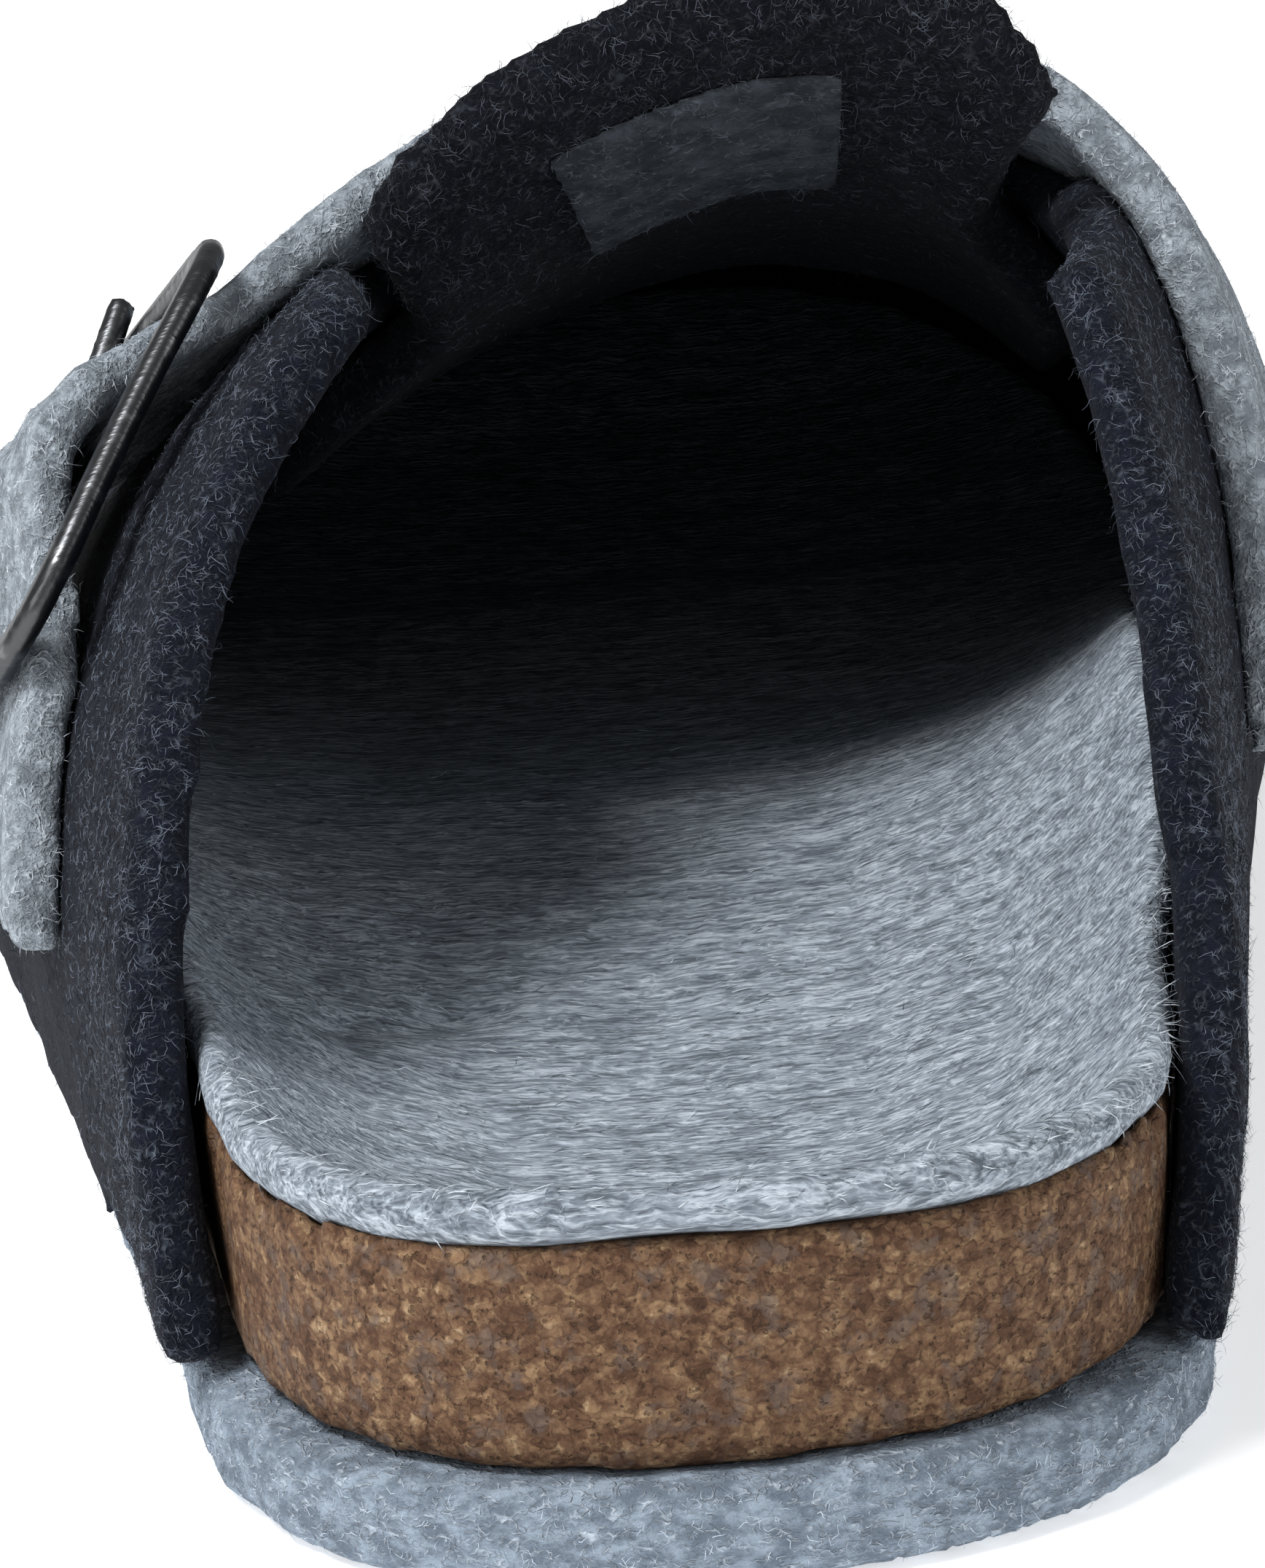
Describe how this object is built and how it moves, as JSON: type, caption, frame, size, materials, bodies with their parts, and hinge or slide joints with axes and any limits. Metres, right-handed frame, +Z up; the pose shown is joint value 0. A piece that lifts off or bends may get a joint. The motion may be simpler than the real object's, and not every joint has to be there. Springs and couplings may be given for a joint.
{
  "type": "house slipper",
  "caption": "Open-backed house slipper for the left foot: thick wool felt upper on a cork footbed, with a standing tongue, an instep strap with buckle and a felt outsole.",
  "frame": {"origin": "on the floor, under the middle of the slipper's box", "axes": "+Z up, +Y towards the toe, +X towards the inner side of the foot"},
  "size_m": [0.1142, 0.268, 0.0906],
  "materials": {
    "sole_felt": "pressed blue-grey wool felt, fuzzy",
    "cork": "bare granulated cork, matt",
    "lining_felt": "soft light grey wool with a combed nap",
    "dark_felt": "dark blue-grey wool felt with lighter fibres",
    "patch_felt": "plain flat grey cloth",
    "light_felt": "light blue-grey wool felt",
    "gunmetal": "dark gunmetal plating with worn bright edges"
  },
  "bodies": {
    "root": {"outsole": "sole_felt", "cork_footbed": "cork", "footbed_lining": "lining_felt", "upper": "dark_felt", "tongue": "dark_felt", "tongue_patch": "patch_felt", "instep_strap": "light_felt", "buckle_tab": "light_felt", "buckle_frame": "gunmetal", "buckle_prong": "gunmetal"}
  },
  "joints": []
}
